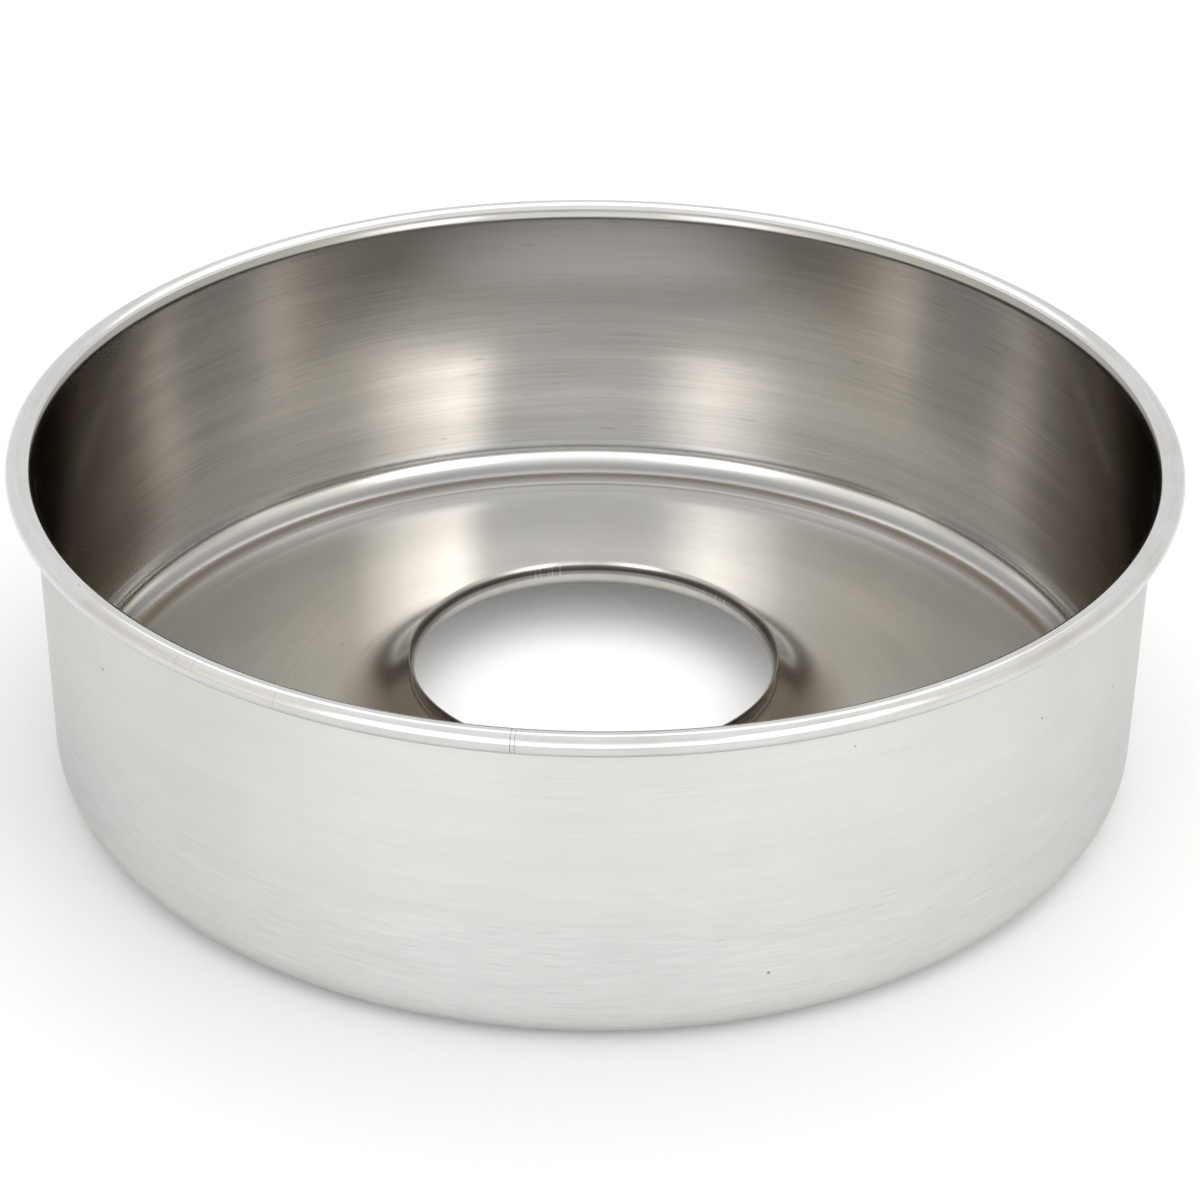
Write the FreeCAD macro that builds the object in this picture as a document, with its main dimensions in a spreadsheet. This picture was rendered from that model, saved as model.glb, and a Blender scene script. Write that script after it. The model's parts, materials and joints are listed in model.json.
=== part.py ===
import FreeCAD, Part
import math
import os

import Sketcher

# Candy floss bowl in thin stainless sheet, millimetres, +Z up.
# The origin is on the axis, in the plane that the foot stands on.

SIZES = [
    ("sheet_gauge", 0.8, "thickness of the sheet everywhere"),
    ("wall_diameter", 497.2, "outside of the upright wall"),
    ("bowl_height", 154.0, "top of the rolled rim above the foot"),
    ("rim_entry_radius", 7.5, "bend from the inside of the wall into the roll"),
    ("rim_roll_radius", 4.7, "outside of the roll itself"),
    ("rim_roll_sweep", 260.0, "degrees of roll past its top"),
    ("girth_height", 57.0, "middle of the seam between base pan and hoop"),
    ("weld_gap", 1.8, "root gap that each weld fills"),
    ("seam_azimuth", 263.5, "degrees from +X to the upright seam"),
    ("corner_radius", 18.0, "outside of the corner between wall and base"),
    ("foot_land", 8.0, "flat ring that stands on the counter"),
    ("floor_bend_radius", 40.0, "bend from the flat ring into the floor"),
    ("floor_rise", 3.5, "degrees that the floor climbs towards the neck"),
    ("shoulder_radius", 60.0, "sweep from the floor up to the neck"),
    ("neck_slope", 34.0, "degrees that the neck climbs below its bend"),
    ("neck_bend_radius", 4.2, "bend from the sloping neck into the bore"),
    ("neck_bore", 166.8, "clear diameter of the neck"),
    ("neck_straight", 2.0, "upright stretch of the bore"),
    ("neck_height", 35.5, "lip of the neck above the foot"),
    ("lip_flare_radius", 10.0, "bend that turns the lip outwards"),
    ("lip_flare_angle", 40.0, "degrees that the lip leans outwards"),
]

doc = FreeCAD.newDocument("candy_floss_bowl")
sheet = doc.addObject("Spreadsheet::Sheet", "sizes")
for row, (alias, number, note) in enumerate(SIZES, start=1):
    sheet.set(f"A{row}", alias)
    sheet.set(f"B{row}", str(number))
    sheet.set(f"C{row}", note)
    sheet.setAlias(f"B{row}", alias)
doc.recompute()

START, END, CENTRE = 1, 2, 3
ROOT = -1


def size(alias):
    """The number that the sheet holds under this alias."""
    return float(sheet.get(alias))


def new_body(label):
    """An empty body whose label also names its file."""
    body = doc.addObject("PartDesign::Body", label)
    body.Label = label
    return body


def section_sketch(body):
    """A sketch of the body's half section: radius along x, height along y."""
    sketch = body.newObject("Sketcher::SketchObject", body.Label + "_section")
    plane = next(item for item in body.Origin.OriginFeatures if item.Role == "XZ_Plane")
    sketch.AttachmentSupport = [(plane, "")]
    sketch.MapMode = "FlatFace"
    return sketch


def line(sketch, start, end):
    """Add a straight stretch of the section and give its index."""
    return sketch.addGeometry(Part.LineSegment(FreeCAD.Vector(*start), FreeCAD.Vector(*end)), False)


def arc(sketch, centre, radius, start, end):
    """Add a round stretch, anticlockwise between two angles in degrees, and give its index."""
    circle = Part.Circle(FreeCAD.Vector(*centre), FreeCAD.Vector(0, 0, 1), radius)
    return sketch.addGeometry(Part.ArcOfCircle(circle, math.radians(start), math.radians(end)), False)


def polar(centre, radius, angle):
    """The point at this distance and angle, in degrees, from a centre."""
    turn = math.radians(angle)
    return (centre[0] + radius * math.cos(turn), centre[1] + radius * math.sin(turn))


def tie(sketch, kind, *where):
    """Add a constraint that has no number."""
    sketch.addConstraint(Sketcher.Constraint(kind, *where))


def dimension(sketch, name, kind, where, number, expression):
    """Add a named dimension and bind it to the sheet."""
    index = sketch.addConstraint(Sketcher.Constraint(kind, *where, number))
    sketch.renameConstraint(index, name)
    sketch.setExpression("Constraints." + name, expression)


def revolve(body, sketch, angle):
    """Turn the section about the upright axis, half the angle to each side of its plane."""
    ring = body.newObject("PartDesign::Revolution", body.Label + "_ring")
    ring.Profile = sketch
    ring.ReferenceAxis = (sketch, ["V_Axis"])
    ring.Midplane = True
    ring.setExpression("Angle", angle)
    body.Tip = ring


def turn_about_axis(body, angle):
    """Place the body on the axis, turned by an angle that the sheet gives."""
    body.Placement = FreeCAD.Placement(FreeCAD.Vector(), FreeCAD.Rotation(FreeCAD.Vector(0, 0, 1), 1))
    body.setExpression("Placement.Rotation.Angle", angle)


def hoop_section(sketch):
    """The wall strip: upright, bent outwards over the rim and rolled under to a hollow bead."""
    gauge = size("sheet_gauge")
    outer = size("wall_diameter") / 2
    entry = size("rim_entry_radius")
    roll = size("rim_roll_radius")
    sweep = size("rim_roll_sweep")
    foot = size("girth_height") + size("weld_gap") / 2
    top = size("bowl_height")
    entry_centre = (outer - gauge + entry, top - entry)
    roll_centre = (outer - gauge + entry, top - roll)
    free_end = 90 - sweep

    inside = line(sketch, (outer - gauge, foot), (outer - gauge, top - entry))
    bend = arc(sketch, entry_centre, entry, 90, 180)
    bead = arc(sketch, roll_centre, roll, free_end, 90)
    bead_outer = polar(roll_centre, roll, free_end)
    bead_inner = polar(roll_centre, roll - gauge, free_end)
    free_edge = line(sketch, bead_inner, bead_outer)
    bead_back = arc(sketch, roll_centre, roll - gauge, free_end, 90)
    bend_back = arc(sketch, entry_centre, entry - gauge, 90, 180)
    outside = line(sketch, (outer, top - entry), (outer, foot))
    seam_edge = line(sketch, (outer, foot), (outer - gauge, foot))

    tie(sketch, "Tangent", inside, END, bend, END)
    tie(sketch, "Tangent", bend, START, bead, END)
    tie(sketch, "Coincident", bead, START, free_edge, END)
    tie(sketch, "Coincident", free_edge, START, bead_back, START)
    tie(sketch, "Tangent", bead_back, END, bend_back, START)
    tie(sketch, "Tangent", bend_back, END, outside, START)
    tie(sketch, "Coincident", outside, END, seam_edge, START)
    tie(sketch, "Coincident", seam_edge, END, inside, START)
    tie(sketch, "Coincident", bend, CENTRE, bend_back, CENTRE)
    tie(sketch, "Coincident", bead, CENTRE, bead_back, CENTRE)
    tie(sketch, "Vertical", inside)
    tie(sketch, "Vertical", outside)
    tie(sketch, "Horizontal", seam_edge)
    tie(sketch, "Vertical", bend, CENTRE, bend, START)
    tie(sketch, "PointOnObject", bead, CENTRE, free_edge)
    dimension(sketch, "wall_radius", "DistanceX", (ROOT, START, outside, END), outer,
              "sizes.wall_diameter / 2")
    dimension(sketch, "gauge", "DistanceX", (seam_edge, END, seam_edge, START), gauge,
              "sizes.sheet_gauge")
    dimension(sketch, "seam_level", "DistanceY", (ROOT, START, outside, END), foot,
              "sizes.girth_height + sizes.weld_gap / 2")
    dimension(sketch, "rim_level", "DistanceY", (ROOT, START, bend, START), top, "sizes.bowl_height")
    dimension(sketch, "entry_radius", "Radius", (bend,), entry, "sizes.rim_entry_radius")
    dimension(sketch, "roll_radius", "Radius", (bead,), roll, "sizes.rim_roll_radius")
    dimension(sketch, "free_edge_lean", "Angle", (free_edge,), math.radians(free_end),
              "90 - sizes.rim_roll_sweep")


def fillet_centre(first, first_slope, second, second_slope, radius):
    """The centre of a round that touches two climbing lines from above, each a point and a slope."""
    sine_1, cosine_1 = math.sin(math.radians(first_slope)), math.cos(math.radians(first_slope))
    sine_2, cosine_2 = math.sin(math.radians(second_slope)), math.cos(math.radians(second_slope))
    reach_1 = first[0] * sine_1 + first[1] * cosine_1 + radius
    reach_2 = second[0] * sine_2 + second[1] * cosine_2 + radius
    spread = sine_1 * cosine_2 - cosine_1 * sine_2
    return ((reach_1 * cosine_2 - reach_2 * cosine_1) / spread,
            (sine_1 * reach_2 - sine_2 * reach_1) / spread)


def base_section(sketch):
    """The base pan: upstand, corner, foot ring, floor, shoulder, neck and flared lip."""
    gauge = size("sheet_gauge")
    outer = size("wall_diameter") / 2
    corner = size("corner_radius")
    floor_bend = size("floor_bend_radius")
    rise = size("floor_rise")
    shoulder = size("shoulder_radius")
    slope = size("neck_slope")
    neck_bend = size("neck_bend_radius")
    bore = size("neck_bore") / 2
    straight = size("neck_straight")
    flare = size("lip_flare_radius")
    lean = size("lip_flare_angle")
    top = size("girth_height") - size("weld_gap") / 2
    lip = size("neck_height")
    floor_down = 270 - rise
    neck_down = 270 - slope

    corner_centre = (outer - corner, corner)
    floor_centre = (outer - corner - size("foot_land"), floor_bend + gauge)
    floor_start = polar(floor_centre, floor_bend + gauge, floor_down)
    flare_centre = (bore + flare, lip - flare * math.sin(math.radians(lean)))
    neck_centre = (bore + gauge + neck_bend, flare_centre[1] - straight)
    cone_end = polar(neck_centre, neck_bend + gauge, neck_down)
    shoulder_centre = fillet_centre(floor_start, rise, cone_end, slope, shoulder + gauge)

    # the side that faces the counter and the bore
    upstand = line(sketch, (outer, top), (outer, corner))
    corner_arc = arc(sketch, corner_centre, corner, 270, 360)
    land = line(sketch, (corner_centre[0], 0), (floor_centre[0], 0))
    floor_arc = arc(sketch, floor_centre, floor_bend + gauge, floor_down, 270)
    floor = line(sketch, floor_start, polar(shoulder_centre, shoulder + gauge, floor_down))
    shoulder_arc = arc(sketch, shoulder_centre, shoulder + gauge, neck_down, floor_down)
    cone = line(sketch, polar(shoulder_centre, shoulder + gauge, neck_down), cone_end)
    neck_arc = arc(sketch, neck_centre, neck_bend + gauge, 180, neck_down)
    neck = line(sketch, (bore, neck_centre[1]), (bore, flare_centre[1]))
    flare_arc = arc(sketch, flare_centre, flare, 180 - lean, 180)
    lip_inner = polar(flare_centre, flare - gauge, 180 - lean)
    lip_edge = line(sketch, lip_inner, polar(flare_centre, flare, 180 - lean))

    # the side that faces the floss
    flare_back = arc(sketch, flare_centre, flare - gauge, 180 - lean, 180)
    neck_back = line(sketch, (bore + gauge, flare_centre[1]), (bore + gauge, neck_centre[1]))
    neck_arc_back = arc(sketch, neck_centre, neck_bend, 180, neck_down)
    cone_back = line(sketch, polar(neck_centre, neck_bend, neck_down),
                     polar(shoulder_centre, shoulder, neck_down))
    shoulder_back = arc(sketch, shoulder_centre, shoulder, neck_down, floor_down)
    floor_back = line(sketch, polar(shoulder_centre, shoulder, floor_down),
                      polar(floor_centre, floor_bend, floor_down))
    floor_arc_back = arc(sketch, floor_centre, floor_bend, floor_down, 270)
    land_back = line(sketch, (floor_centre[0], gauge), (corner_centre[0], gauge))
    corner_back = arc(sketch, corner_centre, corner - gauge, 270, 360)
    upstand_back = line(sketch, (outer - gauge, corner), (outer - gauge, top))
    seam_edge = line(sketch, (outer - gauge, top), (outer, top))

    tie(sketch, "Tangent", upstand, END, corner_arc, END)
    tie(sketch, "Tangent", corner_arc, START, land, START)
    tie(sketch, "Tangent", land, END, floor_arc, END)
    tie(sketch, "Tangent", floor_arc, START, floor, START)
    tie(sketch, "Tangent", floor, END, shoulder_arc, END)
    tie(sketch, "Tangent", shoulder_arc, START, cone, START)
    tie(sketch, "Tangent", cone, END, neck_arc, END)
    tie(sketch, "Tangent", neck_arc, START, neck, START)
    tie(sketch, "Tangent", neck, END, flare_arc, END)
    tie(sketch, "Coincident", flare_arc, START, lip_edge, END)
    tie(sketch, "Coincident", lip_edge, START, flare_back, START)
    tie(sketch, "Tangent", flare_back, END, neck_back, START)
    tie(sketch, "Tangent", neck_back, END, neck_arc_back, START)
    tie(sketch, "Tangent", neck_arc_back, END, cone_back, START)
    tie(sketch, "Tangent", cone_back, END, shoulder_back, START)
    tie(sketch, "Tangent", shoulder_back, END, floor_back, START)
    tie(sketch, "Tangent", floor_back, END, floor_arc_back, START)
    tie(sketch, "Tangent", floor_arc_back, END, land_back, START)
    tie(sketch, "Tangent", land_back, END, corner_back, START)
    tie(sketch, "Tangent", corner_back, END, upstand_back, START)
    tie(sketch, "Coincident", upstand_back, END, seam_edge, START)
    tie(sketch, "Coincident", seam_edge, END, upstand, START)
    for front, back in ((corner_arc, corner_back), (floor_arc, floor_arc_back),
                        (shoulder_arc, shoulder_back), (neck_arc, neck_arc_back),
                        (flare_arc, flare_back)):
        tie(sketch, "Coincident", front, CENTRE, back, CENTRE)
    for upright in (upstand, upstand_back, neck, neck_back):
        tie(sketch, "Vertical", upright)
    for level in (land, land_back, seam_edge):
        tie(sketch, "Horizontal", level)
    tie(sketch, "Parallel", floor, floor_back)
    tie(sketch, "Parallel", cone, cone_back)
    tie(sketch, "PointOnObject", flare_arc, CENTRE, lip_edge)
    tie(sketch, "PointOnObject", land, START, ROOT)
    dimension(sketch, "wall_radius", "DistanceX", (ROOT, START, upstand, START), outer,
              "sizes.wall_diameter / 2")
    dimension(sketch, "gauge", "DistanceX", (seam_edge, START, seam_edge, END), gauge,
              "sizes.sheet_gauge")
    dimension(sketch, "seam_level", "DistanceY", (ROOT, START, upstand, START), top,
              "sizes.girth_height - sizes.weld_gap / 2")
    dimension(sketch, "corner_radius", "Radius", (corner_arc,), corner, "sizes.corner_radius")
    dimension(sketch, "land_width", "DistanceX", (land, END, land, START), size("foot_land"),
              "sizes.foot_land")
    dimension(sketch, "floor_bend", "Radius", (floor_arc_back,), floor_bend, "sizes.floor_bend_radius")
    dimension(sketch, "floor_climb", "Angle", (floor,), math.radians(180 - rise),
              "180 - sizes.floor_rise")
    dimension(sketch, "shoulder", "Radius", (shoulder_back,), shoulder, "sizes.shoulder_radius")
    dimension(sketch, "neck_climb", "Angle", (cone,), math.radians(180 - slope),
              "180 - sizes.neck_slope")
    dimension(sketch, "neck_bend", "Radius", (neck_arc_back,), neck_bend, "sizes.neck_bend_radius")
    dimension(sketch, "bore_radius", "DistanceX", (ROOT, START, neck, START), bore, "sizes.neck_bore / 2")
    dimension(sketch, "bore_length", "DistanceY", (neck, START, neck, END), straight,
              "sizes.neck_straight")
    dimension(sketch, "flare_radius", "Radius", (flare_arc,), flare, "sizes.lip_flare_radius")
    dimension(sketch, "flare_lean", "Angle", (lip_edge,), math.radians(180 - lean),
              "180 - sizes.lip_flare_angle")
    dimension(sketch, "lip_level", "DistanceY", (ROOT, START, lip_edge, END), lip, "sizes.neck_height")


def girth_weld_section(sketch):
    """The weld between base pan and hoop, ground flush with the sheet on both sides."""
    gauge = size("sheet_gauge")
    outer = size("wall_diameter") / 2
    gap = size("weld_gap")
    low = size("girth_height") - gap / 2
    bottom = line(sketch, (outer - gauge, low), (outer, low))
    outside = line(sketch, (outer, low), (outer, low + gap))
    top = line(sketch, (outer, low + gap), (outer - gauge, low + gap))
    inside = line(sketch, (outer - gauge, low + gap), (outer - gauge, low))
    edges = (bottom, outside, top, inside)
    for edge, following in zip(edges, edges[1:] + edges[:1]):
        tie(sketch, "Coincident", edge, END, following, START)
    for level in (bottom, top):
        tie(sketch, "Horizontal", level)
    for upright in (outside, inside):
        tie(sketch, "Vertical", upright)
    dimension(sketch, "wall_radius", "DistanceX", (ROOT, START, outside, START), outer,
              "sizes.wall_diameter / 2")
    dimension(sketch, "gauge", "DistanceX", (bottom, START, bottom, END), gauge, "sizes.sheet_gauge")
    dimension(sketch, "weld_gap", "DistanceY", (outside, START, outside, END), gap, "sizes.weld_gap")
    dimension(sketch, "weld_level", "DistanceY", (ROOT, START, outside, START), low,
              "sizes.girth_height - sizes.weld_gap / 2")


SEAM_ANGLE = "(sizes.weld_gap / (sizes.wall_diameter / 2) * 180 / pi)"

wall_hoop = new_body("wall_hoop")
hoop_sketch = section_sketch(wall_hoop)
hoop_section(hoop_sketch)
revolve(wall_hoop, hoop_sketch, "360 - " + SEAM_ANGLE)
turn_about_axis(wall_hoop, "sizes.seam_azimuth - 180")

wall_seam_weld = new_body("wall_seam_weld")
wall_seam_sketch = section_sketch(wall_seam_weld)
hoop_section(wall_seam_sketch)
revolve(wall_seam_weld, wall_seam_sketch, SEAM_ANGLE)
turn_about_axis(wall_seam_weld, "sizes.seam_azimuth")

base_pan = new_body("base_pan")
base_sketch = section_sketch(base_pan)
base_section(base_sketch)
revolve(base_pan, base_sketch, "360")

base_seam_weld = new_body("base_seam_weld")
base_seam_sketch = section_sketch(base_seam_weld)
girth_weld_section(base_seam_sketch)
revolve(base_seam_weld, base_seam_sketch, "360")

doc.recompute()

for item in doc.Objects:
    if "Invalid" in item.State or "Error" in item.State:
        raise RuntimeError(f"{item.Name} failed: {item.State}")
for sketch in (hoop_sketch, wall_seam_sketch, base_sketch, base_seam_sketch):
    if not sketch.FullyConstrained:
        raise RuntimeError(f"{sketch.Name} is not fully constrained")

pieces = (wall_hoop, wall_seam_weld, base_pan, base_seam_weld)
for piece in pieces:
    shape = piece.Shape
    if shape.isNull() or not shape.isValid() or len(shape.Solids) != 1:
        raise RuntimeError(f"{piece.Label} is not one valid solid")

os.makedirs("parts", exist_ok=True)
for piece in pieces:
    piece.Shape.exportStep(f"parts/{piece.Label}.step")
    box = piece.Shape.BoundBox
    print(f"{piece.Label}: {piece.Shape.Volume:.1f} mm3, z {box.ZMin:.2f} to {box.ZMax:.2f}")
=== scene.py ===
import json
import math

import bmesh
import bpy
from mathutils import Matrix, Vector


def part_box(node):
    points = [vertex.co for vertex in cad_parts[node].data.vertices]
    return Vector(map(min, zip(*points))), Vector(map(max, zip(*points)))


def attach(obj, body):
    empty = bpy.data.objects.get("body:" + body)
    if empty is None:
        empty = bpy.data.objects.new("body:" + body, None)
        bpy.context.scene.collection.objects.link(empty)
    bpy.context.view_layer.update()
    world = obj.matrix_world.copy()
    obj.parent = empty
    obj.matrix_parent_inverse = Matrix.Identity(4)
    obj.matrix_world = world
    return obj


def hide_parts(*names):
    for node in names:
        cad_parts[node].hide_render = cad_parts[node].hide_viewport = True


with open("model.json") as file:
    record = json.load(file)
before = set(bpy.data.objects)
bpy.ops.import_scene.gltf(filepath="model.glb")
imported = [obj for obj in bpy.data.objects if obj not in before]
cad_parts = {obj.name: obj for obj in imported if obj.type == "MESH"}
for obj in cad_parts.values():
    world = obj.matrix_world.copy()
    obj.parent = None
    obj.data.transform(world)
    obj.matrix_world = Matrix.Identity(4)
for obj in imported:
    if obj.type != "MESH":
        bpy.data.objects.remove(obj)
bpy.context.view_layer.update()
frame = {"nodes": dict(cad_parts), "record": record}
print("frame loaded:", ", ".join(sorted(frame["nodes"])))

mm = 0.001
turnSteps = 400          # faces round the bowl


# outlines, as (radius, height) points in metres

def arcRun(centre, radius, fromDeg, toDeg, stepDeg=6.0):
    steps = max(2, math.ceil(abs(toDeg - fromDeg) / stepDeg))
    points = []
    for i in range(steps + 1):
        a = math.radians(fromDeg + (toDeg - fromDeg) * i / steps)
        points.append((centre[0] + radius * math.cos(a), centre[1] + radius * math.sin(a)))
    return points


def straightRun(start, end, spacing=9 * mm, guard=0.5 * mm):
    # a guard point close to each end keeps the flat free of the bends' shading
    dr, dz = end[0] - start[0], end[1] - start[1]
    length = math.hypot(dr, dz)
    steps = max(1, math.ceil(length / spacing))
    shares = [i / steps for i in range(1, steps)]
    if length > 4 * guard:
        between = [s for s in shares if guard < s * length < length - guard]
        shares = [guard / length, *between, 1 - guard / length]
    return [(start[0] + dr * s, start[1] + dz * s) for s in shares]


def joinRuns(*runs):
    # each run is (finish, points); a strip takes the finish of the run that it starts in
    outline = []
    for finish, points in runs:
        for r, z in points:
            if outline and math.dist((r, z), outline[-1][:2]) < 1e-6:
                outline.pop()
            outline.append((r, z, finish))
    return outline


def lathe(name, outline, fromDeg=0.0, sweepDeg=360.0, steps=turnSteps, squeeze=None):
    # squeeze narrows an open sweep about its middle where the outline has that finish
    squeeze = squeeze or {}
    whole = sweepDeg >= 360.0
    middle = fromDeg + sweepDeg / 2
    bm = bmesh.new()
    rings = []
    for i in range(steps if whole else steps + 1):
        fromMiddle = sweepDeg * (i / steps - 0.5)
        ring = []
        for r, z, finish in outline:
            a = math.radians(middle + fromMiddle * squeeze.get(finish, 1.0))
            ring.append(bm.verts.new((r * math.cos(a), r * math.sin(a), z)))
        rings.append(ring)
    pairs = list(zip(rings, rings[1:]))
    if whole:
        pairs.append((rings[-1], rings[0]))
    count = len(outline)
    for here, there in pairs:
        for j in range(count):
            k = (j + 1) % count
            face = bm.faces.new((here[j], there[j], there[k], here[k]))
            face.material_index = outline[j][2]
    if not whole:
        bm.faces.new(rings[0])
        bm.faces.new(list(reversed(rings[-1])))
    bmesh.ops.recalc_face_normals(bm, faces=bm.faces)
    mesh = bpy.data.meshes.new(name)
    bm.to_mesh(mesh)
    bm.free()
    mesh.shade_smooth()
    mesh.set_sharp_from_angle(angle=math.radians(35))
    piece = bpy.data.objects.new(name, mesh)
    bpy.context.scene.collection.objects.link(piece)
    return piece


def fitOut(piece, node):
    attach(piece, "root")
    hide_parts(node)


# sheet sizes that every piece shares, most of them read from the frame

sheet = {
    "gauge": 0.8 * mm,
    "wallOuter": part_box("base_pan")[1].x,
    "rimTop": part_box("wall_hoop")[1].z,
    "rimOuter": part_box("wall_hoop")[1].x,
    "girthLow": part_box("base_seam_weld")[0].z,
    "girthHigh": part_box("base_seam_weld")[1].z,
}
sheet["wallInner"] = sheet["wallOuter"] - sheet["gauge"]

hoopShape = {
    "entryRadius": 7.5 * mm,
    "rollSweep": 260.0,
    "seamDeg": 263.5,
    "seamWidth": 1.8 * mm,
    "seamSunk": 0.1 * mm,       # the weld lies a little low on the roll
    "seamShare": 0.82,          # and leaves a hairline on each side there
    "finishTurn": 138.0,        # the inside finish runs this far round the bend
}
hoopShape["rollRadius"] = sheet["rimOuter"] - sheet["wallInner"] - hoopShape["entryRadius"]
hoopOutside, hoopInside, hoopRim = 0, 1, 2


def hoopOutline(low, high, sunk=0.0):
    g = sheet["gauge"]
    entry, roll = hoopShape["entryRadius"], hoopShape["rollRadius"]
    inner, outer = sheet["wallInner"], sheet["wallOuter"]
    bend = (inner + entry, high - entry)
    bead = (inner + entry, high - roll)
    tail, turn = 90 - hoopShape["rollSweep"], hoopShape["finishTurn"]
    return joinRuns(
        (hoopInside, [(inner, low)]),
        (hoopInside, straightRun((inner, low), (inner, high - entry))),
        (hoopInside, arcRun(bend, entry, 180, turn)),
        (hoopRim, arcRun(bend, entry - sunk, turn, 90)),
        (hoopRim, arcRun(bead, roll - sunk, 90, tail, 7.5)),
        (hoopRim, arcRun(bead, roll - g, tail, 90, 7.5)),
        (hoopRim, arcRun(bend, entry - g, 90, 180)),
        (hoopOutside, straightRun((outer, high - entry), (outer, low))),
        (hoopOutside, [(outer, low)]))


seamHalf = math.degrees(hoopShape["seamWidth"] / sheet["wallOuter"]) / 2
hoopLow, hoopHigh = sheet["girthHigh"], sheet["rimTop"]
wallHoop = lathe("wallHoop", hoopOutline(hoopLow, hoopHigh),
                 hoopShape["seamDeg"] + seamHalf, 360 - 2 * seamHalf)
wallSeamWeld = lathe("wallSeamWeld", hoopOutline(hoopLow, hoopHigh, hoopShape["seamSunk"]),
                     hoopShape["seamDeg"] - seamHalf, 2 * seamHalf, 4,
                     squeeze={hoopRim: hoopShape["seamShare"]})
fitOut(wallHoop, "wall_hoop")
fitOut(wallSeamWeld, "wall_seam_weld")
print("hoop and its upright weld made")

panShape = {
    "cornerRadius": 18 * mm,
    "footLand": 8 * mm,
    "floorBend": 40 * mm,
    "floorRise": 3.5,
    "shoulder": 60 * mm,
    "neckSlope": 34.0,
    "neckBend": 4.2 * mm,
    "neckStraight": 2 * mm,
    "lipFlare": 10 * mm,
    "lipLean": 40.0,
    "lipHeight": 35.5 * mm,
}
mounts = {m["name"]: m for m in frame["record"]["mounts"]}
panShape["bore"] = mounts["neck_bore"]["dims"]["r_mm"] * mm
panOutside, panInside, panFloor, panNeck, panCorner = 0, 1, 2, 3, 4


def filletCentre(first, firstSlope, second, secondSlope, radius):
    # centre of a round that lies on two climbing lines, each a point and a slope
    s1, c1 = math.sin(math.radians(firstSlope)), math.cos(math.radians(firstSlope))
    s2, c2 = math.sin(math.radians(secondSlope)), math.cos(math.radians(secondSlope))
    reach1 = first[0] * s1 + first[1] * c1 + radius
    reach2 = second[0] * s2 + second[1] * c2 + radius
    spread = s1 * c2 - c1 * s2
    return ((reach1 * c2 - reach2 * c1) / spread, (s1 * reach2 - s2 * reach1) / spread)


def panOutline(high):
    g = sheet["gauge"]
    p = panShape
    inner, outer = sheet["wallInner"], sheet["wallOuter"]
    corner = (outer - p["cornerRadius"], p["cornerRadius"])
    foot = (corner[0] - p["footLand"], p["floorBend"] + g)
    floorDown, neckDown = 270 - p["floorRise"], 270 - p["neckSlope"]
    floorStart = arcRun(foot, p["floorBend"] + g, floorDown, floorDown)[0]
    lip = (p["bore"] + p["lipFlare"], p["lipHeight"] - p["lipFlare"] * math.sin(math.radians(p["lipLean"])))
    neck = (p["bore"] + g + p["neckBend"], lip[1] - p["neckStraight"])
    coneEnd = arcRun(neck, p["neckBend"] + g, neckDown, neckDown)[0]
    shoulder = filletCentre(floorStart, p["floorRise"], coneEnd, p["neckSlope"], p["shoulder"] + g)

    # the lip's cut edge is dressed to a full round
    half = g / 2
    tip = 180 - p["lipLean"] + math.degrees(half / (p["lipFlare"] - half))
    edge = arcRun(lip, p["lipFlare"] - half, tip, tip)[0]

    def sideOf(back):
        # from the seam down to the lip, on the counter side or, with back on, on the floss side
        thin = g if back else 0.0
        wide = 0.0 if back else g
        wall = inner if back else outer
        bends = [
            arcRun(corner, p["cornerRadius"] - thin, 360, 270, 5),
            arcRun(foot, p["floorBend"] + wide, 270, floorDown, 1),
            arcRun(shoulder, p["shoulder"] + wide, floorDown, neckDown, 3),
            arcRun(neck, p["neckBend"] + wide, neckDown, 180, 6),
            arcRun(lip, p["lipFlare"] - thin, 180, tip, 5),
        ]
        runs = [[(wall, high)], straightRun((wall, high), bends[0][0])]
        for bend, following in zip(bends, bends[1:]):
            runs += [bend, straightRun(bend[-1], following[0])]
        return runs + [bends[-1]]

    # a side's runs from the seam: its edge, upstand, corner, foot land, and so on to the lip
    under = [panOutside] * 7 + [panNeck] * 4
    above = [panInside] * 2 + [panCorner] + [panFloor] * 8
    front = list(zip(under, sideOf(False)))
    back = [(finish, run[::-1]) for finish, run in zip(reversed(above), reversed(sideOf(True)))]
    return joinRuns(*front, (panNeck, arcRun(edge, half, tip, tip - 180, 30)), *back)


basePan = lathe("basePan", panOutline(sheet["girthLow"]))
fitOut(basePan, "base_pan")
baseSeamWeld = lathe("baseSeamWeld", [
    (sheet["wallInner"], sheet["girthLow"], panOutside),
    (sheet["wallOuter"], sheet["girthLow"], panOutside),
    (sheet["wallOuter"], sheet["girthHigh"], panInside),
    (sheet["wallInner"], sheet["girthHigh"], panInside)])
fitOut(baseSeamWeld, "base_seam_weld")
print("base pan and girth weld made")


# node helpers

def nodeIn(tree, kind, **values):
    node = tree.nodes.new(kind)
    for name, value in values.items():
        setattr(node, name, value)
    return node


def feed(tree, socket, value):
    if isinstance(value, bpy.types.NodeSocket):
        tree.links.new(value, socket)
    else:
        socket.default_value = value


def maths(tree, operation, *values):
    node = nodeIn(tree, "ShaderNodeMath", operation=operation)
    for socket, value in zip(node.inputs, values):
        feed(tree, socket, value)
    return node.outputs[0]


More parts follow.
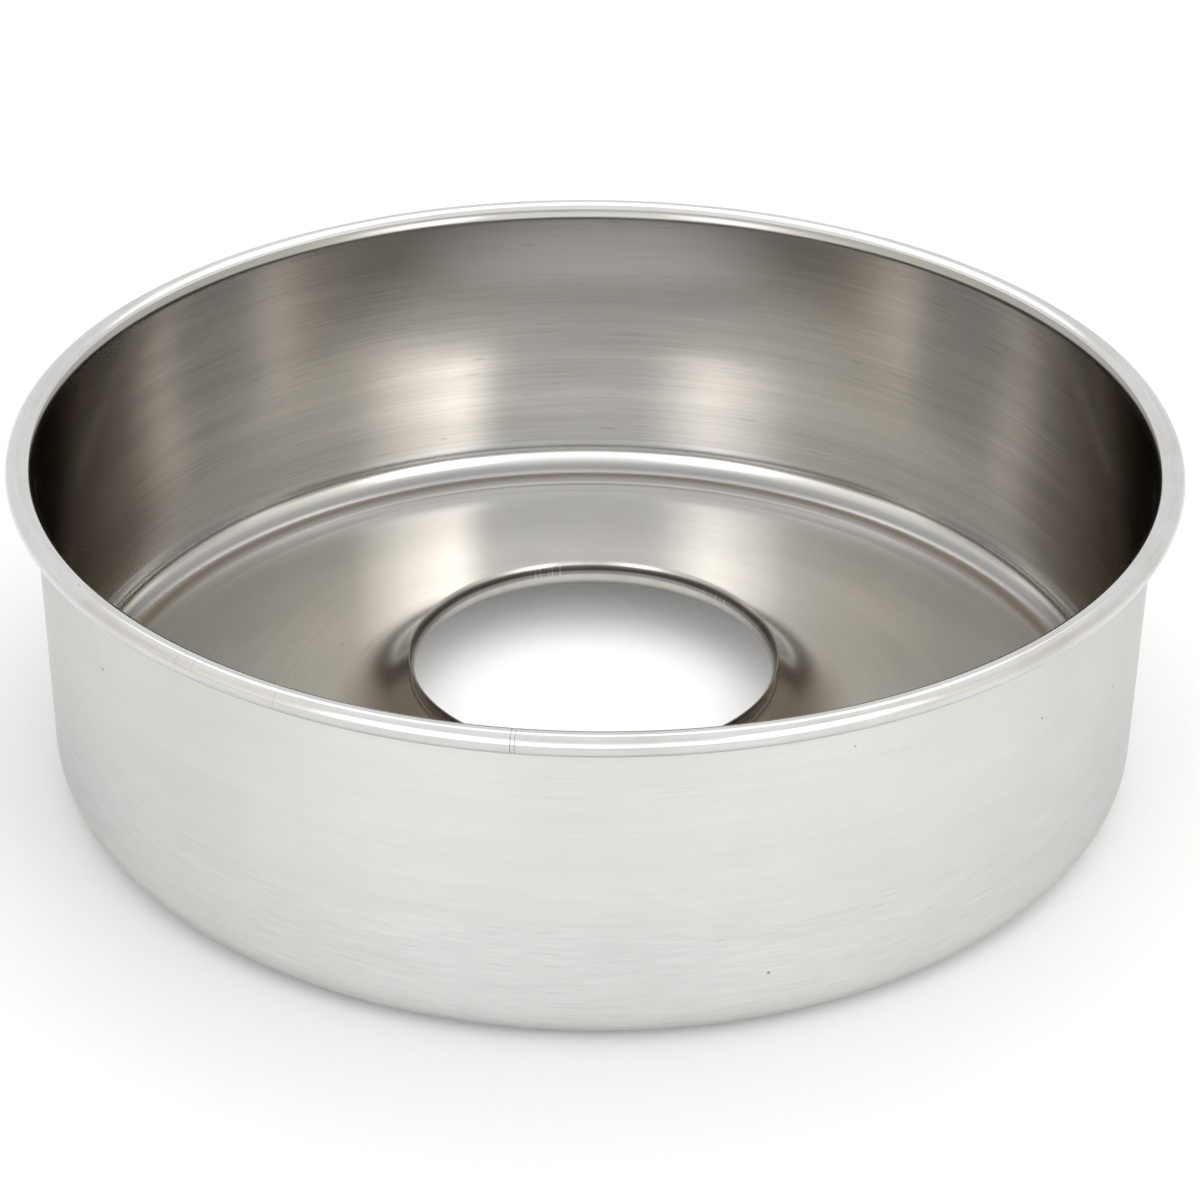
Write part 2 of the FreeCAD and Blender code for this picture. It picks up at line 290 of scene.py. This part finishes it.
def rangeOf(tree, value, low, high, toLow=0.0, toHigh=1.0):
    node = nodeIn(tree, "ShaderNodeMapRange", interpolation_type="SMOOTHSTEP")
    ends = {"Value": value, "From Min": low, "From Max": high, "To Min": toLow, "To Max": toHigh}
    for label, end in ends.items():
        feed(tree, node.inputs[label], end)
    return node.outputs["Result"]


def noiseAt(tree, spot, scale=1.0, detail=2.0, rough=0.5):
    node = nodeIn(tree, "ShaderNodeTexNoise")
    for label, value in (("Vector", spot), ("Scale", scale), ("Detail", detail), ("Roughness", rough)):
        feed(tree, node.inputs[label], value)
    return node.outputs["Fac"]


def mixColor(tree, share, first, second):
    node = nodeIn(tree, "ShaderNodeMix", data_type="RGBA")
    feed(tree, node.inputs[0], share)
    feed(tree, node.inputs[6], first)       # 6 and 7 are the colour sockets of the Mix node
    feed(tree, node.inputs[7], second)
    return node.outputs[2]


def rampOf(tree, value, stops):
    # stops are (place from 0 to 1, colour), in rising order
    node = nodeIn(tree, "ShaderNodeValToRGB")
    elements = node.color_ramp.elements
    for i, (place, color) in enumerate(stops):
        stop = elements[i] if i < 2 else elements.new(place)
        stop.position = place
        stop.color = (*color, 1)
    feed(tree, node.inputs["Fac"], value)
    return node.outputs["Color"]


def placeOn(tree):
    coord = nodeIn(tree, "ShaderNodeTexCoord")
    split = nodeIn(tree, "ShaderNodeSeparateXYZ")
    tree.links.new(coord.outputs["Object"], split.inputs[0])
    return coord.outputs["Object"], split.outputs["X"], split.outputs["Y"], split.outputs["Z"]


def joinXyz(tree, *values):
    node = nodeIn(tree, "ShaderNodeCombineXYZ")
    for socket, value in zip(node.inputs, values):
        feed(tree, socket, value)
    return node.outputs[0]


# effects that the finishes share

def newGroup(name, inputs, outputs):
    group = bpy.data.node_groups.new(name, "ShaderNodeTree")
    for label, value in inputs.items():
        socket = group.interface.new_socket(label, in_out="INPUT", socket_type="NodeSocketFloat")
        socket.default_value = value
    for label in outputs:
        group.interface.new_socket(label, in_out="OUTPUT", socket_type="NodeSocketFloat")
    return group, nodeIn(group, "NodeGroupInput").outputs, nodeIn(group, "NodeGroupOutput").inputs


def radiusOf(tree, x, y):
    return maths(tree, "SQRT", maths(tree, "MULTIPLY_ADD", x, x, maths(tree, "MULTIPLY", y, y)))


def stretchedSpot(tree, around, across):
    # runs round the axis in x and y, and along the sheet's outline, which is radius plus height, in z
    spot, x, y, z = placeOn(tree)
    along = maths(tree, "ADD", radiusOf(tree, x, y), z)
    return joinXyz(tree, maths(tree, "MULTIPLY", x, around), maths(tree, "MULTIPLY", y, around),
                   maths(tree, "MULTIPLY", along, across))


def brushGrainGroup():
    # hairlines of the brushing belt, and the broad bands where its passes overlap; both per metre
    knobs = {"Around": 16.0, "Across": 1600.0, "Band Across": 90.0}
    tree, given, result = newGroup("brushGrain", knobs, ("Lines", "Bands"))
    lines = noiseAt(tree, stretchedSpot(tree, given["Around"], given["Across"]), detail=2.5, rough=0.65)
    bandAround = maths(tree, "MULTIPLY", given["Around"], 0.25)
    bands = noiseAt(tree, stretchedSpot(tree, bandAround, given["Band Across"]), detail=3.0, rough=0.55)
    tree.links.new(lines, result["Lines"])
    tree.links.new(bands, result["Bands"])
    return tree


def sheetWearGroup():
    # handling: cloudy patches, pin-head specks and short dark drag marks
    knobs = {"Cloud Scale": 12.0, "Speck Scale": 45.0, "Drag Across": 700.0}
    tree, given, result = newGroup("sheetWear", knobs, ("Clouds", "Specks", "Drags"))
    speckCore, speckEdge = 0.018, 0.034     # shares of a cell
    dragAround = 70.0
    dragFrom, dragFull = 0.68, 0.8          # only the noise's peaks become drags
    spot, x, y, z = placeOn(tree)
    clouds = noiseAt(tree, spot, given["Cloud Scale"], detail=4.0, rough=0.6)
    cells = nodeIn(tree, "ShaderNodeTexVoronoi")
    tree.links.new(spot, cells.inputs["Vector"])
    tree.links.new(given["Speck Scale"], cells.inputs["Scale"])
    specks = rangeOf(tree, cells.outputs["Distance"], speckCore, speckEdge, 1.0, 0.0)
    drags = noiseAt(tree, stretchedSpot(tree, dragAround, given["Drag Across"]), detail=1.0)
    tree.links.new(clouds, result["Clouds"])
    tree.links.new(specks, result["Specks"])
    tree.links.new(rangeOf(tree, drags, dragFrom, dragFull), result["Drags"])
    return tree


brushGrain = brushGrainGroup()
sheetWear = sheetWearGroup()
stainClouds = (-0.1, 0.25)      # where in the clouds a stain begins and is full
speckColor = (0.05, 0.045, 0.04, 1)
micron = 0.001 * mm


def paintedNeckShade(tree, s, color):
    # painted shade: the neck and the floor round it are painted brown on their front half, fading out
    # towards the back, for the dark reflection seen there
    spot, x, y, z = placeOn(tree)
    reach = rangeOf(tree, radiusOf(tree, x, y), s["neckShadeFrom"], s["neckShadeTo"], s["neckShade"], 0.0)
    reach = maths(tree, "MULTIPLY", reach, rangeOf(tree, y, *s["neckShadeSide"], 1.0, 0.0))
    return mixColor(tree, reach, color, (*s["neckShadeColor"], 1))


def steelMaterial(name, s, ownMarks=None):
    mat = bpy.data.materials.new(name)
    mat.use_nodes = True
    tree = mat.node_tree
    bsdf = tree.nodes["Principled BSDF"]
    bsdf.inputs["Metallic"].default_value = 1.0
    bsdf.inputs["Specular Tint"].default_value = (*s["edgeTint"], 1)
    bsdf.inputs["Anisotropic"].default_value = s["anisotropic"]
    bsdf.inputs["Anisotropic Rotation"].default_value = 0.25
    tangent = nodeIn(tree, "ShaderNodeTangent", direction_type="RADIAL", axis="Z")
    tree.links.new(tangent.outputs["Tangent"], bsdf.inputs["Tangent"])

    grain = nodeIn(tree, "ShaderNodeGroup", node_tree=brushGrain)
    grain.inputs["Around"].default_value = s["around"]
    grain.inputs["Across"].default_value = s["across"]
    grain.inputs["Band Across"].default_value = s["bandAcross"]
    wear = nodeIn(tree, "ShaderNodeGroup", node_tree=sheetWear)
    wear.inputs["Cloud Scale"].default_value = s["cloudScale"]
    wear.inputs["Speck Scale"].default_value = s["speckScale"]
    wear.inputs["Drag Across"].default_value = s["dragAcross"]
    lines = maths(tree, "SUBTRACT", grain.outputs["Lines"], 0.5)
    bands = maths(tree, "SUBTRACT", grain.outputs["Bands"], 0.5)
    clouds = maths(tree, "SUBTRACT", wear.outputs["Clouds"], 0.5)

    # how light the steel is along its lines, bands and marks, 1 is plain
    tone = maths(tree, "MULTIPLY_ADD", lines, s["lineTone"], 1.0)
    tone = maths(tree, "MULTIPLY_ADD", bands, s["bandTone"], tone)
    tone = maths(tree, "MULTIPLY_ADD", wear.outputs["Drags"], -s["dragTone"], tone)
    if ownMarks:
        tone = ownMarks(tree, s, tone)
    stain = rangeOf(tree, clouds, *stainClouds, 0.0, s["stain"])
    stained = mixColor(tree, stain, (*s["color"], 1), (*s["stainColor"], 1))
    # painted shade round the neck, where the finish lists it
    if "neckShadeSide" in s:
        stained = paintedNeckShade(tree, s, stained)
    toned = nodeIn(tree, "ShaderNodeHueSaturation")
    tree.links.new(stained, toned.inputs["Color"])
    tree.links.new(tone, toned.inputs["Value"])
    specked = mixColor(tree, maths(tree, "MULTIPLY", wear.outputs["Specks"], s["speck"]),
                       toned.outputs["Color"], speckColor)
    tree.links.new(specked, bsdf.inputs["Base Color"])

    rough = maths(tree, "MULTIPLY_ADD", lines, s["lineRough"], s["roughness"])
    rough = maths(tree, "MULTIPLY_ADD", clouds, s["cloudRough"], rough)
    tree.links.new(rough, bsdf.inputs["Roughness"])

    bump = nodeIn(tree, "ShaderNodeBump")
    bump.inputs["Strength"].default_value = 1.0
    bump.inputs["Distance"].default_value = s["lineDepth"] * micron
    tree.links.new(grain.outputs["Lines"], bump.inputs["Height"])
    tree.links.new(bump.outputs["Normal"], bsdf.inputs["Normal"])
    return mat


# finishes; lineDepth is in microns, and scales and counts are per metre

hoopOutsideSteel = {
    "color": (0.695, 0.695, 0.675), "stainColor": (0.62, 0.615, 0.60), "stain": 0.5,
    "edgeTint": (0.8, 0.8, 0.8),
    "roughness": 0.3, "anisotropic": 0.8, "lineRough": 0.1, "cloudRough": 0.08,
    "around": 14.0, "across": 1500.0, "bandAcross": 90.0, "lineDepth": 1.0,
    "lineTone": 0.16, "bandTone": 0.06, "dragTone": 0.06, "dragAcross": 900.0,
    "cloudScale": 9.0, "speckScale": 40.0, "speck": 0.7,
}
panOutsideSteel = {
    **hoopOutsideSteel, "color": (0.70, 0.70, 0.69), "around": 45.0, "across": 1700.0,
    "lineTone": 0.36, "bandTone": 0.1, "dragTone": 0.2, "dragAcross": 1500.0, "lineDepth": 1.6,
}
# painted shade: the inside is a darker, warmer copy of the steel on the outside of the same sheet
insideSteel = {
    "color": (0.42, 0.405, 0.385), "stainColor": (0.36, 0.335, 0.30), "stain": 0.3,
    "edgeTint": (0.3, 0.25, 0.2),
    "roughness": 0.17, "anisotropic": 0.6, "lineRough": 0.06, "cloudRough": 0.05,
    "around": 12.0, "across": 1100.0, "bandAcross": 70.0, "lineDepth": 0.6,
    "lineTone": 0.42, "bandTone": 0.42, "dragTone": 0.2, "dragAcross": 900.0,
    "cloudScale": 7.0, "speckScale": 38.0, "speck": 0.6,
}
# painted light: the floor is a lighter copy of the steel of the same sheet, brighter than the wall inside
# or out
floorSteel = {
    "color": (0.79, 0.78, 0.765), "stainColor": (0.70, 0.68, 0.65), "stain": 0.3,
    "edgeTint": (1.0, 1.0, 1.0),
    "roughness": 0.17, "anisotropic": 0.3, "lineRough": 0.04, "cloudRough": 0.06,
    "around": 12.0, "across": 900.0, "bandAcross": 50.0, "lineDepth": 0.4,
    "lineTone": 0.16, "bandTone": 0.16, "dragTone": 0.08, "dragAcross": 700.0,
    "cloudScale": 10.0, "speckScale": 38.0, "speck": 0.5,
    # where the floor turns darker towards the wall, and how dark it gets there
    "fadeBetween": (135 * mm, 215 * mm), "fadeTone": 0.78,
    # painted shade: brown round the neck on its front half, standing in for a dark reflection
    "neckShadeColor": (0.26, 0.22, 0.17), "neckShade": 0.85,
    "neckShadeFrom": 95 * mm, "neckShadeTo": 124 * mm, "neckShadeSide": (10 * mm, 70 * mm),
}
cornerSteel = {
    # painted shade: the round is a darker copy of the floor's steel
    **floorSteel, "color": (0.67, 0.66, 0.645), "stainColor": (0.6, 0.585, 0.56),
    # height on the round, and the painted highlight or painted shade there, as a share of the plain tone
    "paintedLightByHeight": (
        (1.3 * mm, 1.1), (2.3 * mm, 1.25), (3.1 * mm, 0.8), (4.5 * mm, 0.46), (6.0 * mm, 0.54),
        (7.7 * mm, 0.82), (9.4 * mm, 0.97), (11.0 * mm, 1.1), (13.5 * mm, 1.1), (14.7 * mm, 0.66)),
}
# painted shade: the neck is a darker, browner copy of the floor's steel, with a heavier stain
neckSteel = {
    **floorSteel, "color": (0.52, 0.50, 0.47), "stainColor": (0.36, 0.31, 0.26), "stain": 0.5,
    "roughness": 0.2, "lineTone": 0.15, "cloudScale": 40.0,
    # painted shade and painted reflections on the flare: its light ticks and how dark it is painted
    "ticksPerRadian": 60.0, "patchesPerRadian": 3.0, "tickTone": 0.5,
    "flareLow": 28.5 * mm, "flareHigh": 33 * mm, "flareSoft": 1 * mm, "flareTone": 0.5,
}
rimSteel = {
    "color": (0.66, 0.655, 0.645), "stainColor": (0.52, 0.50, 0.47), "stain": 0.45,
    "edgeTint": (1.0, 1.0, 1.0),
    "roughness": 0.12, "anisotropic": 0.2, "lineRough": 0.05, "cloudRough": 0.08,
    "around": 18.0, "across": 1500.0, "bandAcross": 200.0, "lineDepth": 0.5,
    "lineTone": 0.3, "bandTone": 0.25, "dragTone": 0.12, "dragAcross": 900.0,
    "cloudScale": 22.0, "speckScale": 60.0, "speck": 0.5,
    "hairlineDeg": (231.4, 233.3, 242.2), "hairlineWidth": 0.25 * mm, "hairlineTone": 0.24,
}


def rollHairlines(tree, s, tone):
    # fine dark lines across the roll
    spot, x, y, z = placeOn(tree)
    turn = maths(tree, "ARCTAN2", y, x)
    half = s["hairlineWidth"] / sheet["rimOuter"]
    for deg in s["hairlineDeg"]:
        away = maths(tree, "ABSOLUTE", maths(tree, "SUBTRACT", turn, math.radians(deg - 360)))
        tone = maths(tree, "SUBTRACT", tone, rangeOf(tree, away, 0.0, half, s["hairlineTone"], 0.0))
    return tone


def floorFade(tree, s, tone):
    # the floor is darker towards its outer edge, near the wall
    spot, x, y, z = placeOn(tree)
    fade = rangeOf(tree, radiusOf(tree, x, y), *s["fadeBetween"], 1.0, s["fadeTone"])
    return maths(tree, "MULTIPLY", tone, fade)


def cornerPaintedLight(tree, s, tone):
    # painted highlight and painted shade: the round at the foot of the wall is painted bright along its
    # middle and again at its foot, and dark between and at its top
    spot, x, y, z = placeOn(tree)
    tall = panShape["cornerRadius"]
    stops = [(height / tall, (level, level, level)) for height, level in s["paintedLightByHeight"]]
    return maths(tree, "MULTIPLY", tone, rampOf(tree, maths(tree, "DIVIDE", z, tall), stops))


def flareShadeAndGlints(tree, s, tone):
    # painted shade and painted reflections: the flared part is painted darker, with upright light ticks in
    # patches painted for the streaks reflected there
    spot, x, y, z = placeOn(tree)
    turn = maths(tree, "ARCTAN2", y, x)
    ticks = noiseAt(tree, joinXyz(tree, maths(tree, "MULTIPLY", turn, s["ticksPerRadian"]), 0.0, 0.0))
    patches = noiseAt(tree, joinXyz(tree, maths(tree, "MULTIPLY", turn, s["patchesPerRadian"]), 5.0, 0.0))
    low, high, soft = s["flareLow"], s["flareHigh"], s["flareSoft"]
    reach = maths(tree, "MULTIPLY", rangeOf(tree, z, low, low + soft),
                  rangeOf(tree, z, high, high + soft, 1.0, 0.0))
    marks = maths(tree, "MULTIPLY", rangeOf(tree, ticks, 0.5, 0.62), rangeOf(tree, patches, 0.5, 0.58))
    marks = maths(tree, "MULTIPLY_ADD", marks, s["tickTone"], -s["flareTone"])
    return maths(tree, "MULTIPLY_ADD", marks, reach, tone)


hoopOutsideMat = steelMaterial("hoopOutsideSteel", hoopOutsideSteel)
panOutsideMat = steelMaterial("panOutsideSteel", panOutsideSteel)
insideMat = steelMaterial("insideSteel", insideSteel)
rimMat = steelMaterial("rimSteel", rimSteel, rollHairlines)
panFloorMat = steelMaterial("floorSteel", floorSteel, floorFade)
cornerMat = steelMaterial("cornerSteel", cornerSteel, cornerPaintedLight)
neckMat = steelMaterial("neckSteel", neckSteel, flareShadeAndGlints)
coats = {
    wallHoop: (hoopOutsideMat, insideMat, rimMat),
    wallSeamWeld: (hoopOutsideMat, insideMat, rimMat),
    basePan: (panOutsideMat, insideMat, panFloorMat, neckMat, cornerMat),
    baseSeamWeld: (panOutsideMat, insideMat),
}
for piece, mats in coats.items():
    for mat in mats:
        piece.data.materials.append(mat)
print("finishes on")


# studio

studio = {
    "floorSize": 60.0,
    "floorColor": (0.92, 0.92, 0.92),
    "floorGlow": 0.1,
    "floorDrop": 0.05 * mm,     # a hair under the foot ring, so that no two faces share a plane
    # what lights matt surfaces: mostly from overhead, and more from the back and the right
    "roomLow": 0.05,
    "roomHigh": 2.0,
    "roomTurn": (0.5, 0.85),
    "roomRight": 0.3,
    "roomBack": 0.3,
    # what the metal sees, from the front (Y -1) to the back (Y 1)
    "ring": ((-0.8, (1.68, 1.72, 1.76)), (-0.5, (1.22, 1.19, 1.1)), (-0.25, (1.07, 1.04, 0.95)),
             (0.0, (0.95, 0.92, 0.85)), (0.6, (0.95, 0.95, 0.95))),
    "zenith": (1.1, 1.1, 1.1),
    "zenithFrom": 0.42,
    "zenithTo": 0.85,
}


def seenInMetal(tree, path):
    return maths(tree, "MAXIMUM", path.outputs["Is Glossy Ray"], path.outputs["Is Transmission Ray"])


def paleFloorMaterial():
    mat = bpy.data.materials.new("paleFloor")
    mat.use_nodes = True
    tree = mat.node_tree
    bsdf = tree.nodes["Principled BSDF"]
    bsdf.inputs["Base Color"].default_value = (*studio["floorColor"], 1)
    bsdf.inputs["Roughness"].default_value = 0.9
    bsdf.inputs["Specular IOR Level"].default_value = 0.0
    bsdf.inputs["Emission Color"].default_value = (1, 1, 1, 1)
    path = nodeIn(tree, "ShaderNodeLightPath")
    shown = maths(tree, "MAXIMUM", path.outputs["Is Camera Ray"], seenInMetal(tree, path))
    tree.links.new(maths(tree, "MULTIPLY", shown, studio["floorGlow"]), bsdf.inputs["Emission Strength"])
    # clear from below, so that the bowl's underside can be looked at
    place = nodeIn(tree, "ShaderNodeNewGeometry")
    clear = nodeIn(tree, "ShaderNodeBsdfTransparent")
    oneSided = nodeIn(tree, "ShaderNodeMixShader")
    tree.links.new(place.outputs["Backfacing"], oneSided.inputs[0])
    tree.links.new(bsdf.outputs[0], oneSided.inputs[1])
    tree.links.new(clear.outputs[0], oneSided.inputs[2])
    tree.links.new(oneSided.outputs[0], tree.nodes["Material Output"].inputs["Surface"])
    return mat


def makeFloor():
    half = studio["floorSize"] / 2
    corners = [(-half, -half, 0), (half, -half, 0), (half, half, 0), (-half, half, 0)]
    mesh = bpy.data.meshes.new("studioFloor")
    mesh.from_pydata(corners, [], [(0, 1, 2, 3)])
    mesh.materials.append(paleFloorMaterial())
    studioFloor = bpy.data.objects.new("studioFloor", mesh)
    studioFloor.location.z = -studio["floorDrop"]
    bpy.context.scene.collection.objects.link(studioFloor)


def makeWorld():
    # matt surfaces are lit by the room, metal mirrors the walls, and the camera sees a white backdrop
    world = bpy.data.worlds.new("studioWorld")
    bpy.context.scene.world = world
    world.use_nodes = True
    tree = world.node_tree
    tree.nodes.clear()
    coord = nodeIn(tree, "ShaderNodeTexCoord")
    split = nodeIn(tree, "ShaderNodeSeparateXYZ")
    tree.links.new(coord.outputs["Generated"], split.inputs[0])
    x, y, z = split.outputs["X"], split.outputs["Y"], split.outputs["Z"]

    room = nodeIn(tree, "ShaderNodeBackground")
    overhead = rangeOf(tree, z, *studio["roomTurn"], studio["roomLow"], studio["roomHigh"])
    lean = maths(tree, "MULTIPLY_ADD", x, studio["roomRight"], 1.0)
    lean = maths(tree, "MULTIPLY_ADD", y, studio["roomBack"], lean)
    tree.links.new(maths(tree, "MULTIPLY", overhead, lean), room.inputs["Strength"])

    walls = nodeIn(tree, "ShaderNodeBackground")
    depth = maths(tree, "MULTIPLY_ADD", y, 0.5, 0.5)
    ring = rampOf(tree, depth, [((stopY + 1) / 2, color) for stopY, color in studio["ring"]])
    high = rangeOf(tree, z, studio["zenithFrom"], studio["zenithTo"])
    tree.links.new(mixColor(tree, high, ring, (*studio["zenith"], 1)), walls.inputs["Color"])

    backdrop = nodeIn(tree, "ShaderNodeBackground")
    backdrop.inputs["Color"].default_value = (1, 1, 1, 1)
    path = nodeIn(tree, "ShaderNodeLightPath")
    inMetal = nodeIn(tree, "ShaderNodeMixShader")
    tree.links.new(seenInMetal(tree, path), inMetal.inputs[0])
    tree.links.new(room.outputs[0], inMetal.inputs[1])
    tree.links.new(walls.outputs[0], inMetal.inputs[2])
    behind = nodeIn(tree, "ShaderNodeMixShader")
    tree.links.new(path.outputs["Is Camera Ray"], behind.inputs[0])
    tree.links.new(inMetal.outputs[0], behind.inputs[1])
    tree.links.new(backdrop.outputs[0], behind.inputs[2])
    out = nodeIn(tree, "ShaderNodeOutputWorld")
    tree.links.new(behind.outputs[0], out.inputs["Surface"])


# where a softbox stands from the bowl: degrees right of the front, degrees up, metres away;
# one with a peak fades to both sides of it, and the peak counts from the edge near the camera
lamps = {
    "rightSoftbox": {
        "turn": 44.5, "rise": 30, "away": 1.7, "wide": 0.95, "tall": 0.9,
        "level": 2.0, "peak": 0.22, "color": (1.0, 0.975, 0.92),
    },
    "leftSoftbox": {
        "turn": -32, "rise": 30, "away": 1.7, "wide": 0.92, "tall": 0.9,
        "level": 1.45, "peak": 0.4, "color": (1.0, 0.975, 0.92),
    },
    "backSoftbox": {
        "turn": 180, "rise": 60, "away": 1.7, "wide": 1.6, "tall": 0.9,
        "level": 0.5, "peak": None, "color": (1.0, 1.0, 1.0),
    },
}
lampAim = (0.0, 0.0, 0.05)
wattsPerLevel = 4           # for each square metre of softbox


def fadeSideways(light, s):
    light.use_nodes = True
    tree = light.node_tree
    place = nodeIn(tree, "ShaderNodeNewGeometry")
    across = nodeIn(tree, "ShaderNodeSeparateXYZ")
    tree.links.new(place.outputs["Parametric"], across.inputs[0])
    left = across.outputs["X"]
    right = maths(tree, "SUBTRACT", 1.0, left)
    near, far = (left, right) if s["turn"] > 0 else (right, left)
    climb = maths(tree, "DIVIDE", near, s["peak"])
    fall = maths(tree, "DIVIDE", far, 1 - s["peak"])
    tree.links.new(maths(tree, "MINIMUM", climb, fall), tree.nodes["Emission"].inputs["Strength"])


def makeSoftbox(name, s):
    light = bpy.data.lights.new(name, "AREA")
    light.shape = "RECTANGLE"
    light.size, light.size_y = s["wide"], s["tall"]
    light.energy = wattsPerLevel * s["level"] * s["wide"] * s["tall"]
    light.color = s["color"]
    if s["peak"]:
        fadeSideways(light, s)
    lamp = bpy.data.objects.new(name, light)
    bpy.context.scene.collection.objects.link(lamp)
    turn, rise = math.radians(s["turn"]), math.radians(s["rise"])
    lamp.location = (lampAim[0] + s["away"] * math.cos(rise) * math.sin(turn),
                     lampAim[1] - s["away"] * math.cos(rise) * math.cos(turn),
                     lampAim[2] + s["away"] * math.sin(rise))
    lamp.rotation_euler = (math.radians(90) - rise, 0, turn)


viewpoint = {
    "target": (2.7 * mm, 0.0, 62.8 * mm),
    "away": 1.377,
    "rise": 30.3,
    "roll": 0.66,
    "lens": 89.55,
    "sensor": 36,
}


def makeCamera(s):
    data = bpy.data.cameras.new("productCamera")
    data.lens = s["lens"]
    data.sensor_width = s["sensor"]
    camera = bpy.data.objects.new("productCamera", data)
    bpy.context.scene.collection.objects.link(camera)
    rise = math.radians(s["rise"])
    x, y, z = s["target"]
    camera.location = (x, y - s["away"] * math.cos(rise), z + s["away"] * math.sin(rise))
    camera.rotation_mode = "XYZ"
    camera.rotation_euler = (math.radians(90) - rise, 0, 0)
    camera.rotation_euler.rotate_axis("Z", math.radians(s["roll"]))
    bpy.context.scene.camera = camera


makeFloor()
makeWorld()
for name, s in lamps.items():
    makeSoftbox(name, s)
makeCamera(viewpoint)
bpy.context.scene.view_settings.view_transform = "Standard"
print("studio set")
